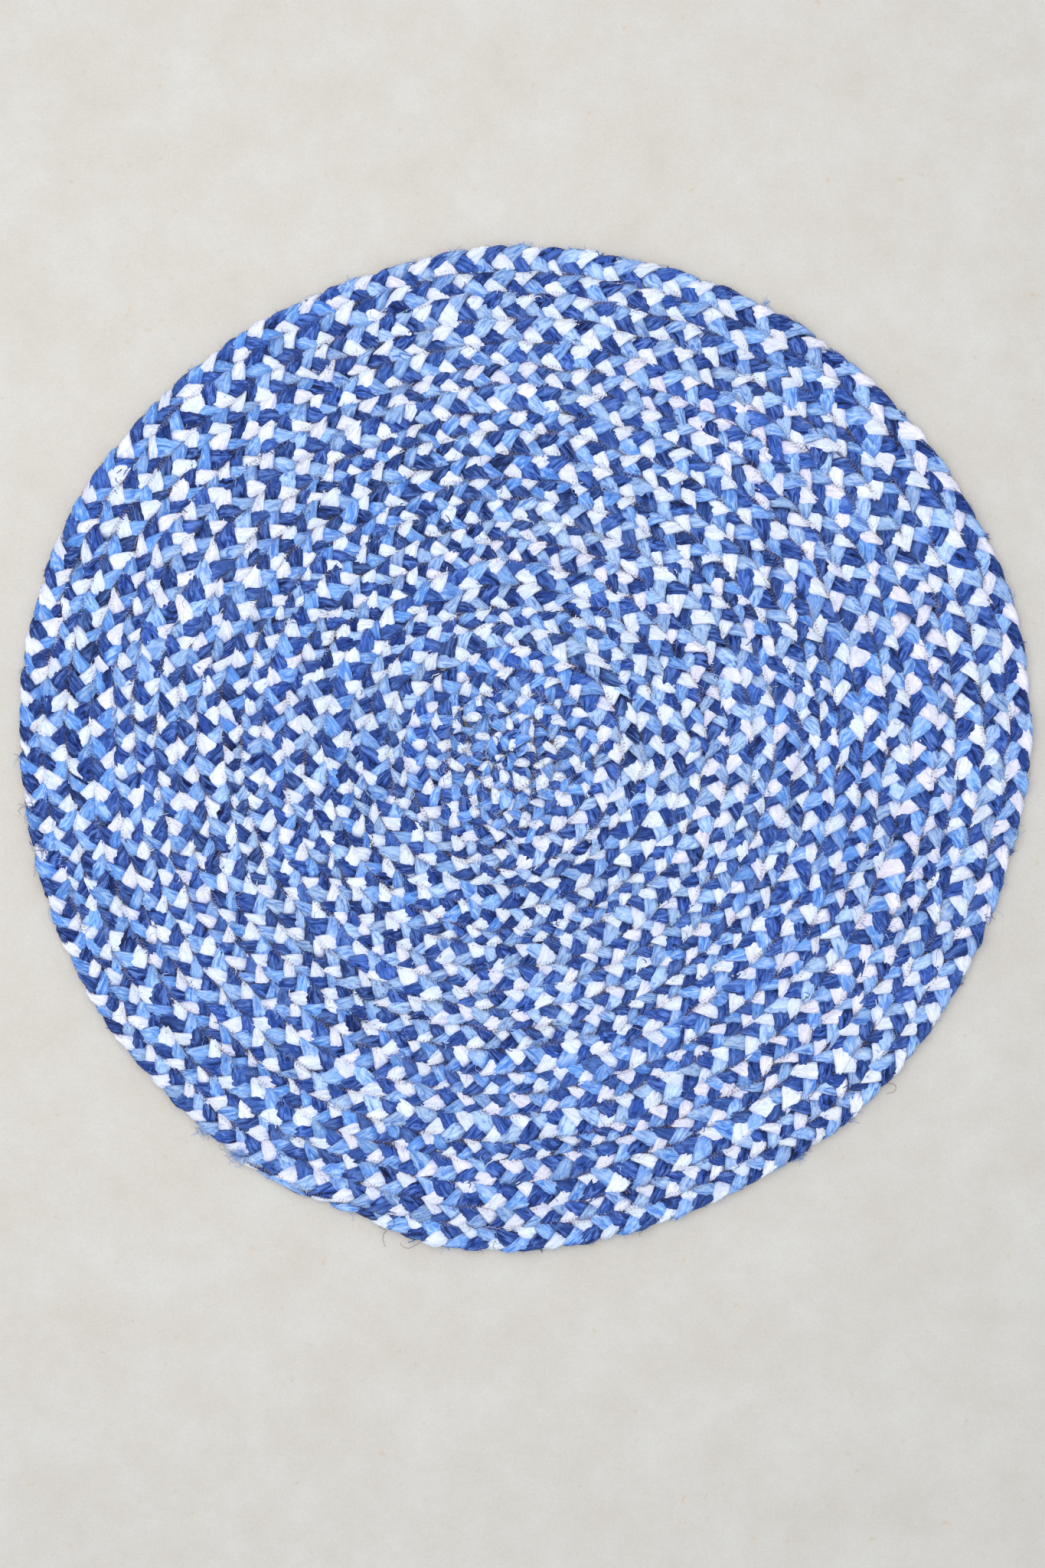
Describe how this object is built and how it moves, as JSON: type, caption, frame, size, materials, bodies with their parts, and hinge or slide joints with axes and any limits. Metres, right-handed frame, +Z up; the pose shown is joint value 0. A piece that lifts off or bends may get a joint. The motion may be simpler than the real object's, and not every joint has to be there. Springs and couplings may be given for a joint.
{
  "type": "braided rug",
  "caption": "Round floor rug: a three-strand cotton rag plait wound flat into a coil and zigzag sewn turn to turn, with a tapered tail at its rim.",
  "frame": {"origin": "on the floor under the middle of the rug's own box", "axes": "+Z up through the rug's thickness; +X to the right and +Y away from the viewer, as the rug lies in the picture; the plait's tail is at the front left"},
  "size_m": [0.908, 0.9002, 0.01],
  "materials": {
    "plaited_rags": "matte plaited cotton rags in white, light blue and dark blue",
    "white_rags": "matte bleached cotton jersey strip, softly creased",
    "light_blue_rags": "matte light blue cotton strip, finely creased",
    "dark_blue_rags": "matte dark blue cotton strip, finely creased and frayed",
    "sewing_thread": "spun sewing thread, grey blue with a tan length"
  },
  "bodies": {
    "root": {"rug": "plaited_rags"}
  },
  "joints": []
}
